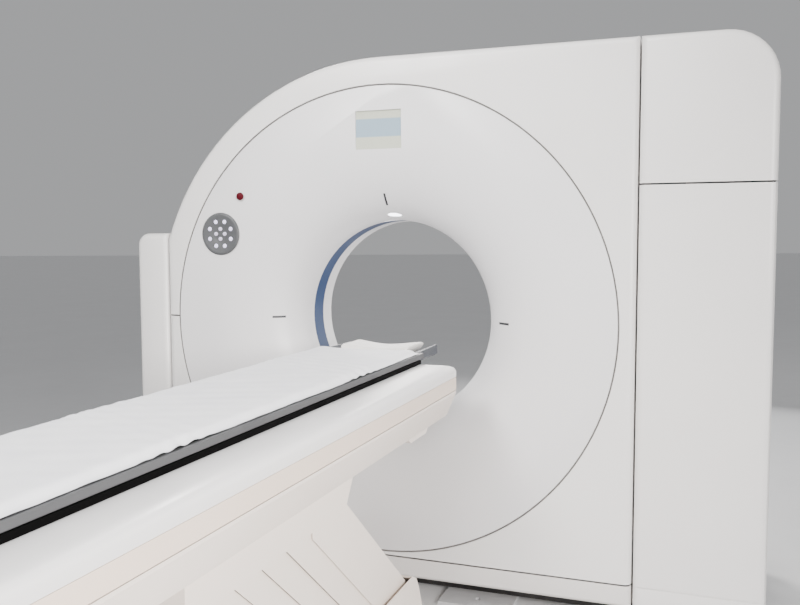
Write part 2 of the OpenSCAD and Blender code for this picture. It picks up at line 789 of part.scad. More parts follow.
// Belt outline round the drum and the motor pulley, both grown by g
module belt_outline(g) {
    r0 = drum_r + g;
    r1 = pulley_r + g;
    d = norm([motor_x, motor_z]);
    turn = atan2(motor_z, motor_x);
    b = acos((r0 - r1) / d);
    circle(r0, $fn = 144);
    translate([motor_x, motor_z]) circle(r1, $fn = 96);
    polygon([for (s = [-b, b]) r0 * [cos(turn + s), sin(turn + s)], for (s = [b, -b])
        [motor_x, motor_z] + r1 * [cos(turn + s), sin(turn + s)]]);
}

module drive_belt() {
    color("black") upright(belt_y0, belt_y1) difference() {
        belt_outline(belt_t + seat_gap);
        belt_outline(seat_gap);
    }
}

// Rotor

module on_rotor(angle) {
    translate([0, 0, iso_h]) rotate([0, angle, 0]) children();
}

module main_bearing_inner() {
    color("silver") turned() polygon([[bearing_r - 45, disc_back_y], [bearing_r - run_gap, disc_back_y],
        [bearing_r - run_gap, frame_y0 - 4], [bearing_r - 45, frame_y0 - 4]]);
}

module rotor_drum() {
    color("steelblue") difference() {
        turned() polygon([[drum_hub_r, drum_disc_y - 20], [drum_hub_r + 14, drum_disc_y - 20],
            [drum_hub_r + 20, drum_disc_y], [drum_r - rim_t, drum_disc_y], [drum_r - rim_t, rim_y],
            [drum_r, rim_y], [drum_r, disc_back_y], [drum_hub_r, disc_back_y]]);
        for (a = [24:24:336]) if (a < 150 || a > 210) on_rotor(a + 12)
            translate([0, drum_disc_y - 1, drum_hub_r + 0.435 * rotor_room]) rotate([-90, 0, 0]) cylinder(r = 26, h = disc_t + 2, $fn = 32);
    }
}

module slip_ring() {
    tracks = 5;
    pitch = (slip_r1() - slip_r0() - 20) / tracks;
    color("goldenrod") difference() {
        turned() translate([slip_r0(), disc_back_y]) square([slip_r1() - slip_r0(), 14]);
        for (i = [1:tracks - 1]) turned()
            translate([slip_r0() + 10 + i * pitch - 2, disc_back_y + 9]) square([4, 6]);
    }
}

module xray_tube() {
    z = tube_z;
    y0 = -165;
    color("lightgray") {
        translate([0, 0, iso_h + z]) rotate([-90, 0, 0]) rotate_extrude($fn = 72) polygon([[0, y0],
            [tube_r - 45, y0], [tube_r - 12, y0 + 24], [tube_r - 12, y0 + 70], [tube_r, y0 + 78],
            [tube_r, drum_disc_y - 24], [tube_r - 14, drum_disc_y - 16], [tube_r - 14, drum_disc_y],
            [0, drum_disc_y]]);
        for (s = [-1, 1]) translate([s * 46, y0 + 60, iso_h + z + tube_r - 24])
            rotate([0, s * 20, 0]) cylinder(r = 16, h = 36, $fn = 32);
    }
}

module collimator() {
    z1 = tube_z - tube_r - 2;
    z0 = drum_hub_r + 24;
    color("dimgray") difference() {
        upright(-48, drum_disc_y) polygon([[-62, z1], [-98, z0], [98, z0], [62, z1]]);
        block([-72, -18, z0 - 1], [72, 18, z1 - 14]);
    }
}

module hv_generator() {
    ribs = 8;
    w = 0.38 * rotor_room;
    z0 = drum_hub_r + 0.136 * rotor_room;
    h = 0.775 * rotor_room;
    depth = 150;
    pitch = 2 * (w - 16) / ribs;
    color("cornflowerblue") on_rotor(50) difference() {
        translate([0, drum_disc_y, z0]) rotate([90, 0, 0]) linear_extrude(depth + drum_disc_y)
            polygon([[-w, 0], [w, 0], [w, 0.8 * h], [0.75 * w, h], [-0.75 * w, h], [-w, 0.8 * h]]);
        for (i = [0:ribs - 1]) translate([16 - w + i * pitch, -depth - 1, z0 + 20])
            cube([pitch - 14, 12, 0.7 * h]);
    }
}

module heat_exchanger() {
    w = 0.353 * rotor_room;
    z0 = drum_hub_r + 0.163 * rotor_room;
    depth = 120;
    color("lightgray") on_rotor(-50) difference() {
        translate([-w, -depth, z0]) cube([2 * w, depth + drum_disc_y, 2 * w]);
        translate([0, -depth - 1, z0 + w]) rotate([-90, 0, 0]) cylinder(r = 0.8 * w, h = 40, $fn = 64);
        for (i = [0:6]) translate([-w - 1, -depth / 2 + i * 18, z0 + 20]) cube([14, 9, 2 * w - 40]);
    }
}

// Detector row on an arc about the focal spot, with its read-out boards behind it
module detector_arc() {
    boards = 17;
    step = 2 * (fan_angle - 1) / (boards - 1);
    color("darkseagreen") {
        translate([0, 0, focus_r]) {
            upright(-42, drum_disc_y) difference() {
                intersection() {
                    circle(detector_r + 52, $fn = 180);
                    polygon([[0, 0], for (a = [-fan_angle, 0, fan_angle])
                        2000 * [sin(a), -cos(a)]]);
                }
                circle(detector_r, $fn = 180);
            }
            for (i = [0:boards - 1]) translate([0, 0, iso_h]) rotate([0, -fan_angle + 1 + i * step, 0])
                translate([-4, -34, -detector_r - 92]) cube([8, 68, 42]);
        }
    }
}

// Table base

module table_base_frame() {
    rear_y = -front_pivot_y - arm_spacing;
    plate_h = 14;
    color("darkslategray") {
        difference() {
            union() {
                translate([-base_half_w + 5 + seat_gap, -base_back + 30, 0])
                    cube([2 * (base_half_w - 5 - seat_gap), base_back - base_front - 60, plate_h]);
                both_sides() {
                    for (y = [-front_pivot_y, rear_y]) sideways(base_plate_x0, base_plate_x1)
                        polygon([[y - 90, plate_h], [y + 90, plate_h], [y + shaft_r + 16, lower_pivot_z + 26],
                            [y - shaft_r - 16, lower_pivot_z + 26]]);
                    // Studs that the side slats turn on
                    for (k = [1:3]) {
                        sideways(base_plate_x0, base_plate_x1) polygon([[slat_y(k) - 30, plate_h],
                            [slat_y(k) + 30, plate_h], [slat_y(k) + 12, slat_pivot_z + 14],
                            [slat_y(k) - 12, slat_pivot_z + 14]]);
                        translate([base_plate_x1 - 1, slat_y(k), slat_pivot_z]) rotate([0, 90, 0])
                            cylinder(r = slat_pivot_r, h = slat_x(k) + 1 - base_plate_x1, $fn = 32);
                    }
                }
                arm_shaft(-front_pivot_y, lower_pivot_z, front_arm_x);
                arm_shaft(rear_y, lower_pivot_z, rear_arm_x);
                // Clevis of the lift actuator
                for (x = [-34, 20]) sideways(x, x + 14) polygon([[actuator_y - 40, plate_h],
                    [actuator_y + 40, plate_h], [actuator_y + 16, actuator_z + 16],
                    [actuator_y - 16, actuator_z + 16]]);
                translate([-34, actuator_y, actuator_z]) rotate([0, 90, 0])
                    cylinder(r = actuator_pin_r, h = 68, $fn = 40);
            }
            for (sx = [-1, 1], sy = [-1, 1]) translate([sx * 100, -1220 + sy * 560, -1])
                cylinder(r = anchor_hole_r, h = plate_h + 2, $fn = 32);
        }
    }
}

// Shaft that a pair of lift arms turns on, a little longer than the arms are apart
module arm_shaft(y, z, arm_x) {
    half = arm_x + arm_t + 2;
    translate([-half, y, z]) rotate([0, 90, 0]) cylinder(r = shaft_r, h = 2 * half, $fn = 48);
}

// Pivot of slat k and the outer face of its plate
function slat_y(k) = -front_pivot_y - ((slat_pivot_z - lower_pivot_z) * cos(lift_angle)
    + shroud_w / 2 + slat_pitch * k - slat_w / 2 + slat_line) / sin(lift_angle);
function slat_x(k) = shroud_x1 - slat_step * k;

// The base cover: open at the top for the lift, with a sloping toe towards the gantry
module table_base_cover() {
    wall = 5;
    toe = function(d) [[-base_back + d, -1], [-base_front - 17 - d, -1], [-base_front - 17 - d, 40],
        [-base_front - 63 - d, 131 - d / 2], [-base_front - 95 - d, 203 - d / 2],
        [-base_front - 118 - d, 238 - d], [-base_front - 148 - d, base_h - d], [-base_back + d, base_h - d]];
    color("linen") difference() {
        intersection() {
            sideways(-base_half_w, base_half_w) polygon(toe(0));
            translate([-far, -far, 0]) cube(2 * far);
        }
        sideways(-base_half_w + wall, base_half_w - wall) polygon(toe(wall));
        // Opening that the lift and the side slats come out of
        translate([-base_half_w + wall, -base_back + 20, base_h - 12])
            cube([2 * (base_half_w - wall), base_back - base_front - 168, 20]);
    }
}

// A frame whose -Y axis runs up an arm from its lower pivot
module on_arm(y, z) {
    translate([0, y, z]) rotate([-lift_angle, 0, 0]) children();
}

// Two arm plates joined by tubes, with bores for the pivot shafts
module arm_pair(arm_x, tube_at) {
    difference() {
        union() {
            both_sides() {
                translate([arm_x, -arm_l, -arm_w / 2]) cube([arm_t, arm_l, arm_w]);
                for (s = [0, arm_l]) translate([arm_x, -s, 0]) rotate([0, 90, 0])
                    cylinder(r = boss_r, h = arm_t, $fn = 64);
            }
            for (s = tube_at) translate([-arm_x - 1, -s, 0]) rotate([0, 90, 0])
                cylinder(r = 18, h = 2 * arm_x + 2, $fn = 48);
        }
        for (s = [0, arm_l]) translate([-arm_x - arm_t - 1, -s, 0]) rotate([0, 90, 0])
            cylinder(r = shaft_r + run_gap, h = 2 * (arm_x + arm_t) + 2, $fn = 64);
    }
}

module lift_arm_front() {
    color("slategray") on_arm(-front_pivot_y, lower_pivot_z) {
        arm_pair(front_arm_x, [actuator_s + 62, arm_l - 98]);
        // Lugs and pin that the actuator pushes on
        for (x = [-34, 20]) sideways(x, x + 14) polygon([[-actuator_s - 80, -18],
            [-actuator_s - 80, actuator_v + 16], [-actuator_s + 16, actuator_v + 16],
            [-actuator_s + 16, actuator_v - 16]]);
        translate([-34, -actuator_s, actuator_v]) rotate([0, 90, 0]) cylinder(r = actuator_pin_r, h = 68, $fn = 40);
    }
}

module lift_arm_rear() {
    color("slategray") on_arm(-front_pivot_y - arm_spacing, lower_pivot_z)
        arm_pair(rear_arm_x, [arm_l - 110]);
}

// Side panels of a shroud between x0 and x1, cut level under the couch;
// its outer edge lies half a width from the arm's centre line
function level_cut(v, drop) = (iso_h - drop - lower_pivot_z - v * cos(lift_angle)) / sin(lift_angle);

module front_shroud() {
    h = shroud_w / 2;
    x1 = shroud_x1;
    cut = 340;
    color("linen") on_arm(-front_pivot_y, lower_pivot_z) {
        both_sides() {
            sideways(x1 - slat_t, x1) polygon([[10, h], [10, -h + 60], [-60, -h],
                [-level_cut(-h, cut + panel_hook), -h], [-level_cut(-h, cut + panel_hook)
                - panel_hook * sin(lift_angle), panel_hook * cos(lift_angle) - h], [-level_cut(h, cut), h]]);
            // Posts that hold the front panel on the arms
            for (s = [60, 250, 430]) translate([front_arm_x, -s - 40, arm_w / 2])
                cube([arm_t, 40, h - slat_t / 2 - arm_w / 2]);
        }
        sideways(-x1, x1) polygon([[10, h], [10, h - slat_t], [-level_cut(h, cut), h - slat_t],
            [-level_cut(h, cut), h]]);
    }
}

module rear_shroud() {
    h = shroud_w / 2;
    x1 = slat_x(4);
    top = 620;
    color("linen") on_arm(-front_pivot_y - arm_spacing, lower_pivot_z) {
        both_sides() {
            sideways(x1 - slat_t, x1) polygon([[-20, h], [-20, -h + 60], [-90, -h], [-top, -h],
                [-level_cut(h, 340), h]]);
            for (s = [120, 330, 470]) translate([rear_arm_x, -s - 40, slat_t / 2 - h])
                cube([arm_t, 40, h - slat_t / 2 - arm_w / 2]);
        }
        sideways(-x1, x1) polygon([[-90, -h], [-90, -h + slat_t], [-top, -h + slat_t], [-top, -h]]);
    }
}

// A pair of thin side slats that stay parallel to the lift arms
module side_slat(k) {
    x1 = slat_x(k);
    v0 = slat_line - slat_w / 2;
    v1 = slat_line + slat_w / 2;
    cut = function(v) (iso_h - 340 - slat_pivot_z - v * cos(lift_angle)) / sin(lift_angle);
    // The first one is wider near its top, behind the cut corner of the front panel
    v2 = v1 + panel_hook * cos(lift_angle);
    top = k > 1 ? [[-cut(v1), v1]] : [[110 - cut(v1), v1], [90 - cut(v1), v2], [-cut(v2), v2]];
    color("linen") translate([0, slat_y(k), slat_pivot_z]) rotate([-lift_angle, 0, 0]) both_sides()
        difference() {
            union() {
                sideways(x1 - slat_t, x1) polygon(concat([[14, v0 + 14], [14, v1 - 20], [-10, v1]], top,
                    [[-cut(v0), v0], [-30, v0], [-16, 0], [16, 0]]));
                translate([x1 - slat_t, 0, 0]) rotate([0, 90, 0]) cylinder(r = 16, h = slat_t, $fn = 48);
            }
            translate([x1 - slat_t - 1, 0, 0]) rotate([0, 90, 0])
                cylinder(r = slat_pivot_r + run_gap, h = slat_t + 2, $fn = 32);
        }
}
module side_slat_1() side_slat(1);
module side_slat_2() side_slat(2);
module side_slat_3() side_slat(3);

// The actuator: its frame has -Y along the rod
function actuator_tip() = [
    -front_pivot_y - actuator_s * cos(lift_angle) + actuator_v * sin(lift_angle),
    lower_pivot_z + actuator_s * sin(lift_angle) + actuator_v * cos(lift_angle)];
function actuator_angle() = atan2(actuator_tip()[1] - actuator_z, actuator_y - actuator_tip()[0]);
function actuator_length() = norm(actuator_tip() - [actuator_y, actuator_z]);

module on_actuator() {
    translate([0, actuator_y, actuator_z]) rotate([-actuator_angle(), 0, 0]) children();
}

module actuator_cylinder() {
    l = actuator_length() - 96;
    color("dimgray") on_actuator() difference() {
        union() {
            translate([0, -34, 0]) rotate([90, 0, 0]) cylinder(r = cylinder_r, h = l - 34, $fn = 64);
            translate([-14, -40, -18]) cube([28, 40, 36]);
            translate([-14, 0, 0]) rotate([0, 90, 0]) cylinder(r = 20, h = 28, $fn = 48);
        }
        translate([-20, 0, 0]) rotate([0, 90, 0]) cylinder(r = actuator_pin_r + run_gap, h = 40, $fn = 48);
        translate([0, -60, 0]) rotate([90, 0, 0]) cylinder(r = rod_r + run_gap, h = l, $fn = 48);
    }
}

module actuator_rod() {
    l = actuator_length();
    // The eye has play, because the linkage is closed only near this pivot
    eye_play = 3.6;
    color("silver") on_actuator() difference() {
        union() {
            translate([0, -130, 0]) rotate([90, 0, 0]) cylinder(r = rod_r, h = l - 148, $fn = 48);
            translate([-16, -l, 0]) rotate([0, 90, 0]) cylinder(r = 24, h = 32, $fn = 48);
        }
        translate([-20, -l, 0]) rotate([0, 90, 0]) cylinder(r = actuator_pin_r + eye_play, h = 40, $fn = 48);
    }
}

// Couch

module couch_frame() {
    top = tray_drop + 3 + seat_gap;
    x0 = hanger_x0;
    color("slategray") difference() {
        union() {
            both_sides() {
                block([x0, cradle_back + 60, -recess_drop + 2], [couch_half_w - 70, -couch_front - 12, -top]);
                for (y = [upper_pivot_y, upper_pivot_y - arm_spacing]) sideways(x0, hanger_x1)
                    polygon([[y - 62, iso_h - recess_drop + 3], [y + 62, iso_h - recess_drop + 3],
                        [y + 30, upper_pivot_z - 30], [y - 30, upper_pivot_z - 30]]);
                // Brackets out to the side covers
                for (y = [-couch_front - 120, -couch_front - 1100, -couch_front - couch_l + 200])
                    block([couch_half_w - 71, y - 30, -lower_seam - 2],
                        [couch_half_w - couch_wall - seat_gap, y, -upper_seam - 4]);
            }
            for (y = [cradle_back + 100, upper_pivot_y - arm_spacing - 30, upper_pivot_y - 30, -couch_front - 80])
                block([-x0 - 1, y, -recess_drop + 2], [x0 + 1, y + 60, -top]);
            arm_shaft(upper_pivot_y, upper_pivot_z, front_arm_x);
            arm_shaft(upper_pivot_y - arm_spacing, upper_pivot_z, rear_arm_x);
        }
    }
}

// The whole skin of the couch, with the slot that the cradle runs in
module couch_shell() {
    w = couch_wall;
    y0 = -couch_front - couch_l;
    difference() {
        rounded_body(function(d) couch_outline(d), y0, -couch_front, 26, 12);
        rounded_body(function(d) couch_outline(d), y0 + w, -couch_front - w, 26 - w, 12 - w, w);
        block([-slot_half_w, cradle_back - 40, -tray_drop], [slot_half_w, far, far]);
    }
}

module couch_top_cover() {
    half = 0.5;
    t = 3;
    color("oldlace") {
        intersection() {
            couch_shell();
            block([-far, -far, half - upper_seam], [far, far, far]);
        }
        // Tray under the cradle
        upright(cradle_back - 40, -couch_front) difference() {
            translate([-slot_half_w - t, -tray_drop - t])
                square([2 * (slot_half_w + t), tray_drop + t - couch_top_drop - 1]);
            translate([-slot_half_w, -tray_drop]) square([2 * slot_half_w, tray_drop]);
        }
    }
}

module couch_side_band() {
    color("antiquewhite") intersection() {
        couch_shell();
        block([-far, -far, 1 - lower_seam], [far, far, -upper_seam - 0.5]);
        difference() {
            block([-far, -far, -far], [far, far, far]);
            block([-slot_half_w - 4, -2000, -far], [slot_half_w + 4, far, far]);
        }
    }
}

module couch_lower_cover() {
    z1 = iso_h - couch_bottom_drop + 1;
    z0 = iso_h - skirt_low_drop;
    color("antiquewhite") {
        difference() {
            intersection() {
                couch_shell();
                block([-far, -far, -far], [far, far, -lower_seam - 1]);
            }
            // Opening over the lift
            block([-skirt_x1 + skirt_t, skirt_back_y + skirt_t, -couch_bottom_drop - 1],
                [skirt_x1 - skirt_t, skirt_front_y + 90, 0]);
        }
        both_sides() sideways(skirt_x1 - skirt_t, skirt_x1) polygon([[skirt_front_y, z1],
            [skirt_front_y, z1 - 16], [skirt_front_y - 52, z0], [skirt_back_y, z0], [skirt_back_y, z1]]);
        translate([-skirt_x1, skirt_back_y, z0]) cube([2 * skirt_x1, skirt_t, z1 - z0]);
        // Small cover under the front end, on each side
        both_sides() sideways(222, 276) polygon([[-733, z1], [-566, z1], [-566, z1 - 8],
            [-580, z1 - 18], [-715, z1 - 18], [-733, z1 - 6]]);
    }
}

module glide_strips() {
    color("black") both_sides() upright(cradle_back - 20, -couch_front - 3)
        translate([165, -couch_top_drop + seat_gap])
            square([cradle_half_w - 165 + 3, couch_top_drop - cradle_lip_drop - cradle_lip_h - 2 * seat_gap]);
}

// Concave section of the cradle: lips w wide at each side, sagging by dish, from z to z - t
function dish_line(w, z, dish, n, part = 1) = [for (i = [0:n]) let(x = part * (-w + 2 * w * i / n))
    [x, z - dish * (1 - pow(x / w, 2))]];
module cradle_section(w, dish, t, lip) {
    polygon(concat([[-w - lip, -cradle_lip_drop]], dish_line(w, -cradle_lip_drop, dish, 16),
        [[w + lip, -cradle_lip_drop], [w + lip, -cradle_lip_drop - t]],
        [for (p = dish_line(w - 20, -cradle_lip_drop - t, dish - 0.6, 16)) [-p[0], p[1]]],
        [[-w - lip, -cradle_lip_drop - t]]));
}

module cradle() {
    color("dimgray") upright(cradle_back, cradle_front)
        cradle_section(cradle_half_w - 13, cradle_dish, cradle_lip_h, 13);
}

module head_holder() {
    w = cradle_half_w - 32;
    lip = -cradle_lip_drop;
    y1 = cradle_front + head_holder_l;
    color("dimgray") difference() {
        upright(cradle_front, y1) polygon(concat([[-w - 13, lip]], dish_line(w, lip, cradle_dish, 12),
            [[w + 13, lip], [w + 13, lip - 24], [w - 10, lip - 40], [0, lip - cradle_dish - 14],
            [10 - w, lip - 40], [-w - 13, lip - 24]]));
        // The sides narrow towards the head end
        both_sides() translate([0, 0, iso_h - 200]) linear_extrude(200) polygon([[w + 13, cradle_front + 10],
            [w + 60, cradle_front + 10], [w + 60, y1 + 1], [w - 1, y1 + 1]]);
    }
}

// Soft pads, drawn plain
module head_cushion() {
    w = cradle_half_w - 62;
    y0 = cradle_front + 30;
    color("seashell") upright(y0, y0 + 190) polygon(concat(
        dish_line(cradle_half_w - 32, -cradle_lip_drop + seat_gap, cradle_dish, 10, w / (cradle_half_w - 32)),
        [for (p = dish_line(w, -cradle_lip_drop + 26, 28, 10)) [-p[0], p[1]]]));
}

module mattress() {
    w = cradle_half_w - 16;
    color("white") upright(cradle_back + 30, cradle_front - 14) polygon(concat(
        dish_line(cradle_half_w - 13, -cradle_lip_drop + seat_gap, cradle_dish, 16, w / (cradle_half_w - 13)),
        [for (p = dish_line(w, -cradle_lip_drop + mattress_rise, 8, 8)) [-p[0], p[1]]]));
}

base_frame();
left_stand();
right_stand();
left_stand_cover();
cabinet_upper_cover();
cabinet_lower_cover();
power_unit();
tilt_gearmotor();
tilt_pinion();
tilt_frame();
arch_cover();
lower_left_panel();
bottom_skirt();
rear_shell();
front_cover();
rear_cover();
cover_seal();
scan_window();
display_screen();
control_panel();
bore_lights();
main_bearing_outer();
brush_block();
drive_motor();
drive_belt();
tilt_sector();
key_up();
key_down();
key_in();
key_out();
stop_button();
motor_pulley();
main_bearing_inner();
rotor_drum();
slip_ring();
xray_tube();
collimator();
hv_generator();
heat_exchanger();
detector_arc();
table_base_frame();
table_base_cover();
lift_arm_front();
front_shroud();
lift_arm_rear();
rear_shroud();
side_slat_1();
side_slat_2();
side_slat_3();
actuator_cylinder();
actuator_rod();
couch_frame();
couch_lower_cover();
couch_side_band();
couch_top_cover();
glide_strips();
cradle();
head_holder();
head_cushion();
mattress();
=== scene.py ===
import json
import math

import bmesh
import bpy
import numpy as np
from mathutils import Matrix, Vector
from mathutils.bvhtree import BVHTree


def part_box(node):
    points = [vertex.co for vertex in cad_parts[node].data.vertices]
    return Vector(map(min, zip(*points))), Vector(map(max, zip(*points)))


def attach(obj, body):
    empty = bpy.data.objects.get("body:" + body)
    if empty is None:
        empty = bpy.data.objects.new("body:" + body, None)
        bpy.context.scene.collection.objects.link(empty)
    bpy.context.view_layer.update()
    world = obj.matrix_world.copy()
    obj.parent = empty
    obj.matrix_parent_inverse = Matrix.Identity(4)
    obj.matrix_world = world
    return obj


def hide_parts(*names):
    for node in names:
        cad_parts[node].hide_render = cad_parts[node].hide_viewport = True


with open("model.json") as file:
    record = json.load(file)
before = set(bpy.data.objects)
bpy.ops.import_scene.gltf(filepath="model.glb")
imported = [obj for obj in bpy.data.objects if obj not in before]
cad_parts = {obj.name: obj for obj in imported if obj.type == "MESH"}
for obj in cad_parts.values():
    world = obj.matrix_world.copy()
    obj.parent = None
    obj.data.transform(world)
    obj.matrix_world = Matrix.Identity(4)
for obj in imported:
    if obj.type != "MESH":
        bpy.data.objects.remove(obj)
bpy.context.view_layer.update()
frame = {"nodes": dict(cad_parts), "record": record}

# Sizes in metres that the new pieces share with the solids
ISO = 0.965
FRONT_Y = -0.260
BORE_R = 0.350
FUNNEL_R = 0.650
FUNNEL_DEPTH = 0.190
CRADLE_LIP = ISO - 0.087
CRADLE_DISH = 0.050
CRADLE_HALF = 0.180
CRADLE_HEAD_Y = -0.351
CRADLE_FOOT_Y = -2.711
HOLDER_HALF = 0.161

# Where the second finishes lie: reach of the lamp from the bore, the floor pads' width and top, and how
# far a slat's rim may face sideways
LAMP_REACH = 0.0055
FLOOR_PAD_ASIDE = 0.47
FLOOR_PAD_TOP = 0.0121
RIM_FACING = 0.3

# Blender's wave texture takes its coordinates twenty times over
WAVE_STEP = 20


# Finishes

class Finish:
    """A material with its nodes within easy reach; patterns read Object coordinates, in metres."""

    def __init__(self, name, colour, rough=0.4, metal=0.0):
        self.mat = bpy.data.materials.new(name)
        self.mat.use_nodes = True
        self.tree = self.mat.node_tree
        self.shader = self.tree.nodes["Principled BSDF"]
        self.coords = self.tree.nodes.new("ShaderNodeTexCoord").outputs["Object"]
        self.set("Base Color", (*colour, 1.0))
        self.set("Roughness", rough)
        self.set("Metallic", metal)
        self.colour = colour

    def set(self, socket, value):
        self.shader.inputs[socket].default_value = value

    def link(self, a, b):
        self.tree.links.new(a, b)

    def stretched(self, scale):
        """The coordinates, stretched by a scale along each axis."""
        mapping = self.tree.nodes.new("ShaderNodeMapping")
        mapping.inputs["Scale"].default_value = scale
        self.link(self.coords, mapping.inputs["Vector"])
        return mapping.outputs["Vector"]

    def noise(self, scale, detail=3.0, vector=None):
        node = self.tree.nodes.new("ShaderNodeTexNoise")
        node.inputs["Scale"].default_value = scale
        node.inputs["Detail"].default_value = detail
        self.link(vector or self.coords, node.inputs["Vector"])
        return node.outputs["Fac"]

    def ranged(self, source, low, high, start=0.3, stop=0.7):
        """The source's values from start to stop, brought to low to high."""
        node = self.tree.nodes.new("ShaderNodeMapRange")
        for key, value in (("From Min", start), ("From Max", stop), ("To Min", low), ("To Max", high)):
            node.inputs[key].default_value = value
        self.link(source, node.inputs["Value"])
        return node.outputs["Result"]

    def tinted(self, source, second, start=0.35, stop=0.65):
        """The base colour fades to a second colour where the source is high."""
        ramp = self.tree.nodes.new("ShaderNodeValToRGB")
        ends = ramp.color_ramp.elements
        ends[0].position, ends[1].position = start, stop
        ends[0].color, ends[1].color = (*self.colour, 1.0), (*second, 1.0)
        self.link(source, ramp.inputs["Fac"])
        self.link(ramp.outputs["Color"], self.shader.inputs["Base Color"])

    def raised(self, source, depth, strength=0.5):
        """Bump from the source, depth in metres."""
        node = self.tree.nodes.new("ShaderNodeBump")
        node.inputs["Strength"].default_value = strength
        node.inputs["Distance"].default_value = depth
        self.link(source, node.inputs["Height"])
        last = self.shader.inputs["Normal"].links
        if last:
            self.link(last[0].from_socket, node.inputs["Normal"])
        self.link(node.outputs["Normal"], self.shader.inputs["Normal"])


def moulded(name, colour, second, rough=(0.32, 0.45), grain=700.0, depth=0.0002, coat=0.0, gloss=0.5):
    """Painted or moulded cover: slow drift of tone, faint handling marks and a fine orange-peel skin."""
    f = Finish(name, colour)
    f.tinted(f.noise(1.6, 4.0), second)
    f.link(f.ranged(f.noise(9.0, 5.0), *rough), f.shader.inputs["Roughness"])
    f.raised(f.noise(grain, 2.0), depth, 0.35)
    f.raised(f.noise(5.0, 1.0), 0.0008, 0.12)
    f.set("Specular IOR Level", gloss)
    f.set("Coat Weight", coat)
    f.set("Coat Roughness", 0.2)
    return f.mat


def painted_steel(name, colour, second, rough=(0.35, 0.55)):
    """Powder-coated steel: pebbled skin with darker, duller patches where it has been handled."""
    f = Finish(name, colour)
    f.tinted(f.noise(14.0, 6.0), second, 0.45, 0.75)
    f.link(f.ranged(f.noise(22.0, 4.0), *rough), f.shader.inputs["Roughness"])
    f.raised(f.noise(420.0, 2.0), 0.0003, 0.4)
    return f.mat


def machined(name, colour, second, along=(6.0, 260.0, 260.0), rough=(0.22, 0.4)):
    """Bare metal with fine tool marks drawn out along one direction."""
    f = Finish(name, colour, metal=1.0)
    marks = f.noise(1.0, 6.0, f.stretched(along))
    f.tinted(marks, second)
    f.link(f.ranged(marks, *rough), f.shader.inputs["Roughness"])
    f.raised(marks, 0.0002, 0.25)
    return f.mat


def soft_rubber(name, colour, second, rough=(0.6, 0.8)):
    """Matt rubber with a little bloom on its surface."""
    f = Finish(name, colour)
    f.tinted(f.noise(30.0, 5.0), second)
    f.link(f.ranged(f.noise(60.0, 3.0), *rough), f.shader.inputs["Roughness"])
    f.raised(f.noise(1200.0, 2.0), 0.0002, 0.4)
    return f.mat


def woven(name, colour, second, threads=900.0, rough=(0.65, 0.8), depth=0.0004, sheen=0.2):
    """Coated cloth: crossing threads as two sets of fine waves, with soft creases below them."""
    f = Finish(name, colour)
    for axis in ("X", "Y"):
        wave = f.tree.nodes.new("ShaderNodeTexWave")
        wave.bands_direction = axis
        wave.inputs["Scale"].default_value = threads / WAVE_STEP
        wave.inputs["Distortion"].default_value = 0.6
        f.link(f.coords, wave.inputs["Vector"])
        f.raised(wave.outputs["Fac"], depth, 0.3)
    f.tinted(f.noise(12.0, 4.0), second)
    f.link(f.ranged(f.noise(26.0, 3.0), *rough), f.shader.inputs["Roughness"])
    f.raised(f.noise(18.0, 4.0), 0.002, 0.25)
    f.set("Sheen Weight", sheen)
    return f.mat


def lit(name, colour, glow, strength, second):
    """Lit plastic or glass: an even glow, a little stronger in patches, under a glossy skin."""
    f = Finish(name, colour, rough=0.18)
    f.tinted(f.noise(25.0, 2.0), second)
    f.set("Emission Color", (*glow, 1.0))
    patches = f.ranged(f.noise(18.0, 2.0), strength * 0.85, strength * 1.1)
    f.link(patches, f.shader.inputs["Emission Strength"])
    return f.mat


COVER = moulded("cover_white", (0.83, 0.815, 0.80), (0.80, 0.785, 0.775), coat=0.15)
COVER_WARM = moulded("ring_white", (0.79, 0.78, 0.785), (0.765, 0.755, 0.765), coat=0.1)
SKIRT = moulded("skirt_white", (0.76, 0.735, 0.715), (0.73, 0.705, 0.685), (0.4, 0.55), gloss=0.3)
COUCH_TOP = moulded("couch_top_white", (0.80, 0.785, 0.78), (0.77, 0.755, 0.75), (0.3, 0.42), coat=0.1)
CREAM = moulded("table_cream", (0.82, 0.735, 0.665), (0.79, 0.705, 0.635), coat=0.1)
BEIGE = moulded("table_beige", (0.80, 0.67, 0.565), (0.765, 0.635, 0.535), rough=(0.35, 0.5))
CRADLE = moulded("cradle_grey", (0.085, 0.086, 0.09), (0.07, 0.071, 0.075), (0.4, 0.55),
                 depth=0.0003, gloss=0.3)
HOLDER = moulded("holder_grey", (0.045, 0.05, 0.062), (0.036, 0.04, 0.05), rough=(0.4, 0.55), gloss=0.3)
# Glide strips: black rubber, made darker than any rubber, with almost no reflection, as painted shade in the
# recess under the cradle's lip
GLIDE_BLACK_AND_SHADE = moulded("glide_black", (0.0012, 0.0012, 0.0012), (0.002, 0.002, 0.002), (0.6, 0.75), gloss=0.03)
PANEL = moulded("panel_grey", (0.10, 0.103, 0.108), (0.085, 0.088, 0.092), rough=(0.35, 0.45), gloss=0.3)
STEEL = painted_steel("table_steel_paint", (0.10, 0.10, 0.11), (0.14, 0.14, 0.14))
FRAME_PAINT = painted_steel("frame_paint", (0.42, 0.47, 0.52), (0.36, 0.40, 0.45))
PLINTH = painted_steel("plinth_paint", (0.014, 0.013, 0.013), (0.028, 0.026, 0.025))
PAD_GREY = painted_steel("floor_pad_paint", (0.55, 0.55, 0.56), (0.48, 0.48, 0.49), rough=(0.4, 0.6))
TUBE = painted_steel("tube_enamel", (0.55, 0.55, 0.55), (0.48, 0.48, 0.49))
DRIVE = painted_steel("drive_paint", (0.12, 0.13, 0.14), (0.09, 0.09, 0.10))
GEAR = machined("gear_steel", (0.45, 0.45, 0.46), (0.36, 0.36, 0.37))
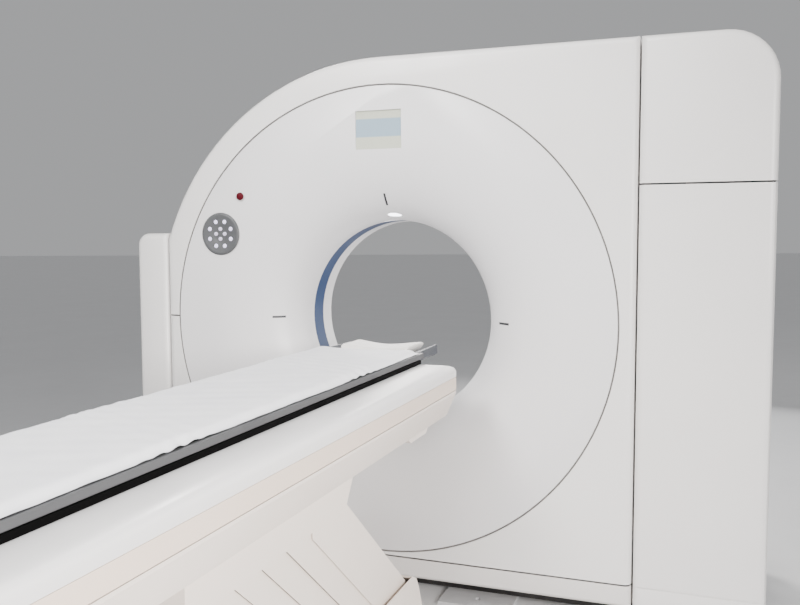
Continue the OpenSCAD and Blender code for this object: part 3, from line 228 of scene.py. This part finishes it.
GROUND = machined("ground_steel", (0.62, 0.62, 0.64), (0.54, 0.54, 0.56), (200.0, 8.0, 8.0), (0.12, 0.25))
DRUM = machined("drum_aluminium", (0.66, 0.67, 0.69), (0.58, 0.59, 0.61), (40.0, 40.0, 40.0))
BRASS = machined("ring_brass", (0.75, 0.55, 0.24), (0.62, 0.45, 0.20), (3.0, 300.0, 3.0))
DETECTOR = machined("detector_anodised", (0.42, 0.46, 0.44), (0.36, 0.40, 0.38))
SEAL = soft_rubber("seal_rubber", (0.125, 0.118, 0.112), (0.16, 0.15, 0.145))
BELT = soft_rubber("belt_rubber", (0.02, 0.02, 0.02), (0.035, 0.035, 0.035))
FILM = moulded("window_film", (0.012, 0.036, 0.11), (0.016, 0.046, 0.14), rough=(0.35, 0.45), gloss=0.25)
GROOVE = moulded("groove_brown", (0.13, 0.095, 0.065), (0.10, 0.07, 0.05), rough=(0.6, 0.75), gloss=0.1)
KEYS = lit("key_plastic", (0.66, 0.62, 0.76), (0.72, 0.66, 0.9), 0.35, (0.6, 0.56, 0.7))
STOP = moulded("stop_red", (0.085, 0.004, 0.010), (0.07, 0.003, 0.008), rough=(0.45, 0.55), gloss=0.12)
LASER = moulded("laser_window", (0.012, 0.012, 0.016), (0.02, 0.02, 0.026), rough=(0.25, 0.35), coat=0.1)
# Lamp glow: the bore's lamp, and also the painted highlight of the glowing bulge on the funnel's lip
LAMP_AND_LIP_HIGHLIGHT = lit("lamp_and_lip_highlight_glow", (0.9, 0.92, 1.0), (0.92, 0.95, 1.0), 7.0, (0.85, 0.88, 1.0))
LENS = lit("key_lens", (0.70, 0.68, 0.86), (0.80, 0.76, 1.0), 1.1, (0.62, 0.60, 0.78))


def screen_glass():
    """Pale display glass, bare: a soft blue band across a cream ground, set by height."""
    f = Finish("screen_glass", (0.70, 0.72, 0.62), rough=0.2)
    low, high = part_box("display_screen")
    height = f.tree.nodes.new("ShaderNodeSeparateXYZ")
    f.link(f.coords, height.inputs["Vector"])
    ramp = f.tree.nodes.new("ShaderNodeValToRGB")
    stops = ramp.color_ramp.elements
    cream, blue = (0.52, 0.54, 0.45, 1.0), (0.29, 0.39, 0.47, 1.0)
    stops[0].position, stops[0].color = 0.0, cream
    stops[1].position, stops[1].color = 1.0, cream
    for place, colour in ((0.30, cream), (0.325, blue), (0.775, blue), (0.80, cream)):
        stops.new(place).color = colour
    f.link(f.ranged(height.outputs["Z"], 0.0, 1.0, low[2], high[2]), ramp.inputs["Fac"])
    f.link(ramp.outputs["Color"], f.shader.inputs["Base Color"])
    f.link(ramp.outputs["Color"], f.shader.inputs["Emission Color"])
    f.link(f.ranged(f.noise(18.0, 2.0), 0.08, 0.11), f.shader.inputs["Emission Strength"])
    f.link(f.ranged(f.noise(40.0, 2.0), 0.14, 0.24), f.shader.inputs["Roughness"])
    return f.mat


SCREEN = screen_glass()
CLOTH = woven("pad_cloth", (0.80, 0.78, 0.74), (0.76, 0.735, 0.69))
PAPER = woven("paper_cover", (0.84, 0.84, 0.86), (0.80, 0.80, 0.83), threads=2200.0, depth=0.0001, sheen=0.0)

FINISHES = {
    COVER: "arch_cover lower_left_panel rear_shell left_stand_cover cabinet_upper_cover cabinet_lower_cover",
    COVER_WARM: "front_cover rear_cover",
    SKIRT: "bottom_skirt",
    COUCH_TOP: "couch_top_cover",
    BEIGE: "couch_side_band",
    CREAM: "couch_lower_cover table_base_cover front_shroud rear_shroud side_slat_1 side_slat_2 side_slat_3",
    CRADLE: "cradle",
    HOLDER: "head_holder",
    GLIDE_BLACK_AND_SHADE: "glide_strips",
    PANEL: "control_panel",
    STEEL: "table_base_frame lift_arm_front lift_arm_rear couch_frame",
    FRAME_PAINT: "tilt_frame left_stand right_stand tilt_gearmotor power_unit",
    PLINTH: "base_frame",
    TUBE: "xray_tube collimator hv_generator",
    DRIVE: "drive_motor brush_block",
    GEAR: "tilt_sector tilt_pinion main_bearing_outer main_bearing_inner motor_pulley",
    GROUND: "actuator_cylinder actuator_rod",
    DRUM: "rotor_drum heat_exchanger",
    BRASS: "slip_ring",
    DETECTOR: "detector_arc",
    SEAL: "cover_seal",
    BELT: "drive_belt",
    FILM: "scan_window",
    KEYS: "key_up key_down key_in key_out",
    STOP: "stop_button",
    LASER: "bore_lights",
    SCREEN: "display_screen",
    CLOTH: "head_cushion mattress",
}
finish_of = {node: mat for mat, nodes in FINISHES.items() for node in nodes.split()}
body_of = {node: body for body, nodes in frame["record"]["behaviour"]["bodies"].items() for node in nodes}


# Making pieces

def piece(name, mesh, body, finish, replaced=()):
    """Put a mesh in the scene as a piece that rides on a body."""
    obj = bpy.data.objects.new(name, mesh)
    bpy.context.scene.collection.objects.link(obj)
    mesh.materials.clear()
    mesh.materials.append(finish)
    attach(obj, body)
    if replaced:
        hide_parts(*replaced)
    return obj


def surface(name, grid, closed_round=False, capped=False):
    """Mesh from a grid of points (rows, columns, 3); columns may close round, and rows may be capped.

    Each square joins point (i, j) to its neighbours in the next row and column.
    """
    rows, cols = grid.shape[:2]
    i = np.arange(rows - 1)[:, None]
    j = np.arange(cols if closed_round else cols - 1)[None, :]
    k = (j + 1) % cols
    quads = np.stack([i * cols + j, i * cols + k, (i + 1) * cols + k, (i + 1) * cols + j], -1).reshape(-1, 4)
    faces = quads.tolist()
    if capped:
        faces.append(list(range(cols))[::-1])
        faces.append(list(range((rows - 1) * cols, rows * cols)))
    mesh = bpy.data.meshes.new(name)
    mesh.from_pydata(grid.reshape(-1, 3).tolist(), [], faces)
    mesh.shade_smooth()
    return mesh


def outward(mesh):
    """Turn every face of a closed mesh outwards."""
    work = bmesh.new()
    work.from_mesh(mesh)
    bmesh.ops.remove_doubles(work, verts=work.verts, dist=1e-6)
    bmesh.ops.recalc_face_normals(work, faces=work.faces)
    work.to_mesh(mesh)
    work.free()
    return mesh


def softened_edges(obj, width):
    """Break the edges of an object by a narrow rounding."""
    bevel = obj.modifiers.new("edges", "BEVEL")
    bevel.width = width
    bevel.segments = 2
    bevel.limit_method = "ANGLE"
    bevel.angle_limit = math.radians(38)
    bevel.harden_normals = True


USUAL_SHARP = 30
WIDER_SHARP = {"couch_top_cover": 62}


def dressed(node, width, sharp):
    """A copy of a node's solid with its flats joined, its curves smooth and its edges broken.

    Edges that turn by more than the sharp angle, in degrees, stay crisp. Without a width the edges
    aren't broken, and a wider angle than usual evens the shading over the bends.
    """
    source = frame["nodes"][node]
    mesh = source.data.copy()
    mesh.name = node + "_skin"
    work = bmesh.new()
    work.from_mesh(mesh)
    bmesh.ops.remove_doubles(work, verts=work.verts, dist=2e-6)
    bmesh.ops.dissolve_limit(work, angle_limit=math.radians(0.4), verts=work.verts, edges=work.edges)
    work.to_mesh(mesh)
    work.free()
    mesh.shade_smooth()
    mesh.set_sharp_from_angle(angle=math.radians(sharp))
    obj = piece(node + "_skin", mesh, body_of[node], finish_of[node], (node,))
    if width:
        softened_edges(obj, width)
    elif sharp > USUAL_SHARP:
        even = obj.modifiers.new("even_shading", "WEIGHTED_NORMAL")
        even.keep_sharp = True
    return obj


def second_finish(obj, finish, chosen):
    """Give another finish to the faces that the test chooses by their centres and directions."""
    mesh = obj.data
    mesh.materials.append(finish)
    centres = np.array([face.center for face in mesh.polygons])
    facing = np.array([face.normal for face in mesh.polygons])
    mesh.polygons.foreach_set("material_index", chosen(centres, facing).astype(np.int32))


# Widths of the broken edges, in metres
SKINS = {
    "arch_cover": 0.0015, "lower_left_panel": 0.0015, "bottom_skirt": 0.0015, "rear_shell": 0.0015,
    "front_cover": 0, "rear_cover": 0, "left_stand_cover": 0.0015, "cabinet_upper_cover": 0.0015,
    "cabinet_lower_cover": 0.0015, "couch_top_cover": 0, "couch_side_band": 0.0006,
    "couch_lower_cover": 0.0015, "table_base_cover": 0.006, "front_shroud": 0.001, "rear_shroud": 0.001,
    "side_slat_1": 0.001, "side_slat_2": 0.001, "side_slat_3": 0.001, "control_panel": 0,
    "stop_button": 0, "key_up": 0, "key_down": 0, "key_in": 0, "key_out": 0, "head_holder": 0.004,
    "cradle": 0.003, "glide_strips": 0.001, "base_frame": 0.001, "bore_lights": 0,
}
skins = {}
for node, obj in frame["nodes"].items():
    obj.data.materials.clear()
    obj.data.materials.append(finish_of[node])
for node, width in SKINS.items():
    skins[node] = dressed(node, width, WIDER_SHARP.get(node, USUAL_SHARP))


def by_the_bore(centres, facing):
    """Faces of the lamp, the only one of the lights that lies in the bore."""
    return np.hypot(centres[:, 0], centres[:, 2] - ISO) < BORE_R + LAMP_REACH


def on_the_rim(centres, facing):
    """Faces round the edge of a slat, which are darker than its side."""
    return np.abs(facing[:, 0]) < RIM_FACING


def on_the_floor_pads(centres, facing):
    """Faces of the grey floor pads, low and between the dark plinths."""
    return (np.abs(centres[:, 0]) < FLOOR_PAD_ASIDE) & (centres[:, 2] < FLOOR_PAD_TOP)


second_finish(skins["bore_lights"], LAMP_AND_LIP_HIGHLIGHT, by_the_bore)
for k in (1, 2, 3):
    second_finish(skins[f"side_slat_{k}"], GROOVE, on_the_rim)
second_finish(skins["base_frame"], PAD_GREY, on_the_floor_pads)


def panel_lenses(count=8, ring=0.047, r=0.0078, rise=0.0042, proud=0.0031, rows=7, cols=24):
    """Small lit caps in the recesses of the control panel.

    Each is a dome turned about its own axis: radius r cos(u) ^ 0.4 and height rise sin(u), closed at
    the back by a flat face that stands proud of the front cover; the caps stand evenly on a ring.
    """
    low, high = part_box("control_panel")
    centre = (low + high) / 2
    u = np.linspace(0, np.pi / 2, rows)[:, None]
    v = np.linspace(0, 2 * np.pi, cols, endpoint=False)[None, :]
    radius = r * np.clip(np.cos(u), 0.02, 1) ** 0.4
    work = bmesh.new()
    for k in range(count):
        turn = 2 * np.pi * (k + 0.5) / count
        grid = np.stack([centre[0] + ring * np.cos(turn) + radius * np.cos(v),
                         FRONT_Y - proud - rise * np.sin(u) + 0 * v,
                         centre[2] + ring * np.sin(turn) + radius * np.sin(v)], -1)
        work.from_mesh(surface("cap", grid, closed_round=True, capped=True))
    mesh = bpy.data.meshes.new("panel_lenses")
    work.to_mesh(mesh)
    work.free()
    mesh.shade_smooth()
    return outward(mesh)


piece("panel_lenses", panel_lenses(), body_of["control_panel"], LENS)


def painted_lip_highlight(left=-2.0, right=6.0, start=67.0, stop=73.0, sunk=0.0012, bulge=0.0014, rows=16, cols=40):
    """A painted highlight on the funnel's lip above the bore: a low bulge that glows with the lamp's finish,
    from one angle to another.

    The funnel's curve is a quarter ellipse: radius = BORE_R + (FUNNEL_R - BORE_R) (1 - sin t) and
    y = FRONT_Y + FUNNEL_DEPTH (1 - cos t). The lens's back is sunk below it, and its front stands
    off it by the bulge times a smooth bump.
    """
    t = np.radians(np.linspace(start, stop, rows))[:, None]
    u = np.linspace(-0.98, 0.98, rows)[:, None]
    v = np.linspace(-1, 1, cols)[None, :]
    a = np.radians((left + right) / 2 + (right - left) / 2 * v * np.sqrt(1 - u ** 2))
    bump = np.sqrt(np.clip(1 - np.abs(u) ** 3, 0, 1)) * np.sqrt(np.clip(1 - np.abs(v) ** 6, 0, 1))
    layers = []
    for off in (-sunk + 0 * bump, bulge * bump):
        r = BORE_R + (FUNNEL_R - BORE_R) * (1 - np.sin(t)) - off * np.sin(t)
        y = FRONT_Y + FUNNEL_DEPTH * (1 - np.cos(t)) - off * np.cos(t)
        layers.append(np.stack([r * np.sin(a), y + 0 * a, ISO + r * np.cos(a)], -1))
    back, front = layers
    mesh = bpy.data.meshes.new("painted_lip_highlight")
    layer = rows * cols

    def cell(i, j):
        return i * cols + j

    faces = []
    for i in range(rows - 1):
        for j in range(cols - 1):
            square = (cell(i, j), cell(i, j + 1), cell(i + 1, j + 1), cell(i + 1, j))
            faces += [square, tuple(layer + k for k in reversed(square))]
    rim = [cell(0, j) for j in range(cols)]
    rim += [cell(i, cols - 1) for i in range(1, rows)]
    rim += [cell(rows - 1, j) for j in range(cols - 2, -1, -1)]
    rim += [cell(i, 0) for i in range(rows - 2, 0, -1)]
    for a0, a1 in zip(rim, rim[1:] + rim[:1]):
        faces.append((a0, a1, layer + a1, layer + a0))
    mesh.from_pydata(np.concatenate([back.reshape(-1, 3), front.reshape(-1, 3)]).tolist(), [], faces)
    mesh.shade_smooth()
    return outward(mesh)


# Painted highlight: a glowing bulge on the funnel's lip, riding with the bore's lights
piece("painted_lip_highlight", painted_lip_highlight(), body_of["bore_lights"], LAMP_AND_LIP_HIGHLIGHT)


# Mattress, paper cover and head cushion

def dish(x, z=CRADLE_LIP, half=CRADLE_HALF, depth=CRADLE_DISH):
    """Height of the cradle's hollow at x: a parabola that sags by depth in the middle."""
    return z - depth * (1 - (x / half) ** 2)


def pad(name, half, y0, y1, top, bottom, round_end, lift=0.0008, power=2.6, rows=160, cols=72):
    """Closed pad: a flattened loop across, carried along Y.

    Across, the top follows top(x) and the underside bottom(x) with a small lift; a superellipse of
    the given power joins them at the sides. Along, the ends round off over round_end.
    """
    t = np.linspace(0, 2 * np.pi, cols, endpoint=False)[None, :]
    s = np.linspace(0, 1, rows)[:, None]
    y = y0 + (y1 - y0) * (s - np.sin(4 * np.pi * s) / (4 * np.pi) * 0.75)
    near = np.minimum(y - y0, y1 - y) / round_end
    end = np.sqrt(np.clip(1 - (1 - np.clip(near, 0.003, 1)) ** 2, 0, 1))

    def squared(v):
        return np.sign(v) * np.abs(v) ** (2 / power)

    x = half * squared(np.cos(t)) * (1 - 0.1 * round_end / half * (1 - end))
    up = squared(np.sin(t)) * end
    low, high = bottom(x) + lift, top(x)
    z = (high + low) / 2 + (high - low) / 2 * up
    grid = np.stack([x + 0 * y, y + 0 * x, z], -1)
    return outward(surface(name, grid, closed_round=True, capped=True))


def points_of(mesh):
    """The mesh's points as rows of x, y and z."""
    flat = np.empty(len(mesh.vertices) * 3, np.float32)
    mesh.vertices.foreach_get("co", flat)
    return flat.reshape(-1, 3).astype(float)


def finished_mesh(obj):
    """A new mesh from an object as its modifiers leave it."""
    return bpy.data.meshes.new_from_object(obj.evaluated_get(bpy.context.evaluated_depsgraph_get()))


def filled(mesh, voxel, cap, bottom, half, top, pinned=0.004, seat=0.0007, pressure=4.0, frames=20):
    """Blow a pad up like a filled cover, then hold it to its seat.

    The skin is rebuilt with even squares and swells as cloth under pressure, pinned where it lies
    close above bottom(x). No point moves further than cap, and none leaves the hollow or the rise.
    """
    scene = bpy.context.scene
    work = bpy.data.objects.new("filling", mesh)
    scene.collection.objects.link(work)
    even = work.modifiers.new("even", "REMESH")
    even.mode = "VOXEL"
    even.voxel_size = voxel
    skin = finished_mesh(work)
    work.modifiers.clear()
    work.data = skin
    rest = points_of(skin)
    held = work.vertex_groups.new(name="held")
    held.add(np.flatnonzero(rest[:, 2] < bottom(rest[:, 0]) + pinned).tolist(), 1.0, "REPLACE")
    cloth = work.modifiers.new("swell", "CLOTH")
    cloth.settings.use_pressure = True
    cloth.settings.uniform_pressure_force = pressure
    cloth.settings.vertex_group_mass = "held"
    cloth.settings.effector_weights.gravity = 0.0
    cloth.point_cache.frame_start, cloth.point_cache.frame_end = 1, frames
    for step in range(1, frames + 1):
        scene.frame_set(step)
    move = points_of(finished_mesh(work)) - rest
    length = np.linalg.norm(move, axis=1, keepdims=True)
    rest = rest + move * np.minimum(1.0, cap / np.maximum(length, 1e-9))
    work.modifiers.clear()
    scene.frame_set(1)
    rest[:, 0] = np.clip(rest[:, 0], -half, half)
    rest[:, 2] = np.minimum(np.maximum(rest[:, 2], bottom(rest[:, 0]) + seat), top)
    skin.vertices.foreach_set("co", rest.astype(np.float32).ravel())
    skin.update()
    bpy.data.objects.remove(work)
    return outward(skin)


def smoothed(obj):
    """The object with its squares divided once and smoothed."""
    step = obj.modifiers.new("smooth", "SUBSURF")
    step.levels = step.render_levels = 1
    obj.data.shade_smooth()
    return obj


def head_seat(x):
    """Height of the head holder's hollow at x."""
    return dish(x, half=HOLDER_HALF)


bed = pad("mattress_pad", half=0.1745, y0=CRADLE_FOOT_Y + 0.033, y1=CRADLE_HEAD_Y - 0.017,
          top=lambda x: dish(x, CRADLE_LIP + 0.015, half=0.177, depth=0.006), bottom=dish, round_end=0.03)
bed = filled(bed, voxel=0.009, cap=0.004, bottom=dish, half=0.1772, top=CRADLE_LIP + 0.0195)
mattress = smoothed(piece("mattress_pad", bed, "cradle", CLOTH, ("mattress",)))

rest_pad = pad("head_pad", half=0.127, y0=CRADLE_HEAD_Y + 0.034, y1=CRADLE_HEAD_Y + 0.216,
               top=lambda x: dish(x, CRADLE_LIP + 0.021, half=0.131, depth=0.024), bottom=head_seat,
               round_end=0.035, rows=70)
rest_pad = filled(rest_pad, voxel=0.005, cap=0.005, bottom=head_seat, half=0.131, top=CRADLE_LIP + 0.026)
cushion = smoothed(piece("head_pad", rest_pad, "cradle", CLOTH, ("head_cushion",)))


def paper_sheet(half=0.1885, foot=0.052, head=0.036, lift=0.0016, ragged=0.0016, rows=460, cols=84):
    """Thin paper laid over the mattress, with a slightly uneven edge.

    Each point drops onto the pad below it, then the heights are averaged with their neighbours so
    that the sheet bridges small hollows. Creases are products and sums of sines across and along.
    """
    y0, y1 = CRADLE_FOOT_Y + foot, CRADLE_HEAD_Y - head
    x = np.linspace(-half, half, cols)[None, :] + 0 * np.zeros((rows, 1))
    y = np.linspace(y0, y1, rows)[:, None] + 0 * x
    edge = (np.abs(x) / half) ** 3
    nicks = 0.45 * np.sin(61 * y + 3 * np.sign(x)) * np.sin(23 * y)
    wander = np.sin(5.1 * y) + 0.6 * np.sin(17 * y + 1) + nicks
    x = x + edge * np.sign(x) * ragged * wander
    below = BVHTree.FromPolygons([tuple(p) for p in points_of(mattress.data)],
                                 [tuple(face.vertices) for face in mattress.data.polygons])
    down, above = Vector((0, 0, -1)), CRADLE_LIP + 0.2
    hits = [below.ray_cast(Vector((px, py, above)), down)[0] for px, py in zip(x.ravel(), y.ravel())]
    z = np.array([CRADLE_LIP + 0.001 if hit is None else hit.z for hit in hits]).reshape(x.shape)
    z = np.maximum(z, CRADLE_LIP)
    for _ in range(6):
        ring = np.pad(z, 1, mode="edge")
        z = np.maximum(z, (ring[:-2, 1:-1] + ring[2:, 1:-1] + ring[1:-1, :-2] + ring[1:-1, 2:]) / 4)
    crease = np.sin(31 * y + 9 * x) * np.sin(47 * x + 5 * y) + 0.7 * np.sin(83 * y - 40 * x + 1.3)
    ruck = np.clip(np.sin(7.3 * y + 4 * x + 0.8), 0.55, 1) - 0.55
    z = z + lift + 0.0005 * crease + 0.006 * ruck * np.sin(60 * y + 22 * x) ** 2 * (0.4 + edge)
    return surface("paper_cover", np.stack([x, y, z], -1)), (2 * half, y1 - y0)


mesh, flat = paper_sheet()
paper = piece("paper_cover", mesh, "cradle", PAPER)


# Floor, light and camera

def floor_finish():
    """Plain pale floor, a touch uneven in its shine."""
    f = Finish("floor_pale", (0.74, 0.74, 0.745), rough=0.4)
    f.tinted(f.noise(1.6, 4.0), (0.72, 0.72, 0.725))
    f.link(f.ranged(f.noise(9.0, 5.0), 0.4, 0.52), f.shader.inputs["Roughness"])
    return f.mat


floor_mesh = bpy.data.meshes.new("floor")
floor_mesh.from_pydata([(-70, -30, 0), (70, -30, 0), (70, 70, 0), (-70, 70, 0)], [], [(0, 1, 2, 3)])
floor_mesh.materials.append(floor_finish())
floor = bpy.data.objects.new("floor", floor_mesh)
bpy.context.scene.collection.objects.link(floor)


def softbox(name, place, target, size, power, colour, spread=180):
    """Soft oblong light aimed at a target; power in watts, spread in degrees."""
    light = bpy.data.lights.new(name, "AREA")
    light.shape = "RECTANGLE"
    light.size, light.size_y = size
    light.energy = power
    light.color = colour
    light.spread = math.radians(spread)
    obj = bpy.data.objects.new(name, light)
    obj.location = place
    obj.rotation_euler = (Vector(target) - Vector(place)).to_track_quat("-Z", "Y").to_euler()
    obj.visible_camera = False
    bpy.context.scene.collection.objects.link(obj)


softbox("key_light", (3.4, -3.6, 1.8), (0.0, -2.1, 0.8), (1.8, 1.4), 104, (1.0, 0.97, 0.94), 85)
softbox("left_fill", (-1.3, -4.3, 4.3), (0.3, -0.26, 1.75), (1.6, 1.6), 34, (1.0, 0.98, 0.965), 50)
softbox("top_light", (0.2, -2.6, 4.4), (0.1, -2.2, 0.9), (1.6, 3.0), 42, (1.0, 1.0, 1.0), 80)
softbox("back_light", (0.9, 3.8, 1.6), (0, 0, 1.0), (3.4, 2.4), 60, (1.0, 1.0, 1.0))
softbox("rear_fill", (-2.4, 4.6, 3.6), (0.1, 0.4, 1.0), (2.0, 2.0), 60, (1.0, 0.97, 0.94), 60)


def studio_world():
    """Plain pale surround, the same all round."""
    world = bpy.data.worlds.new("studio")
    bpy.context.scene.world = world
    world.use_nodes = True
    surround = world.node_tree.nodes["Background"]
    surround.inputs["Color"].default_value = (0.97, 0.98, 1.0, 1.0)
    surround.inputs["Strength"].default_value = 0.42


studio_world()


def photo_camera(place=(1.0902, -3.0234, 1.2572), yaw=0.3514, pitch=-0.0758, roll=-0.0035, lens=39.23):
    """Camera at the photograph's viewing angle; turns in radians, lens in millimetres."""
    forward = Vector((-math.sin(yaw) * math.cos(pitch), math.cos(yaw) * math.cos(pitch), math.sin(pitch)))
    level = Vector((math.cos(yaw), math.sin(yaw), 0.0))
    upright = level.cross(forward)
    right = math.cos(roll) * level + math.sin(roll) * upright
    up = -math.sin(roll) * level + math.cos(roll) * upright
    camera = bpy.data.objects.new("camera", bpy.data.cameras.new("camera"))
    camera.data.sensor_width = 36.0
    camera.data.lens = lens
    camera.data.clip_end = 60.0
    turn = Matrix((right, up, -forward)).transposed().to_4x4()
    camera.matrix_world = Matrix.Translation(place) @ turn
    bpy.context.scene.collection.objects.link(camera)
    bpy.context.scene.camera = camera


photo_camera()
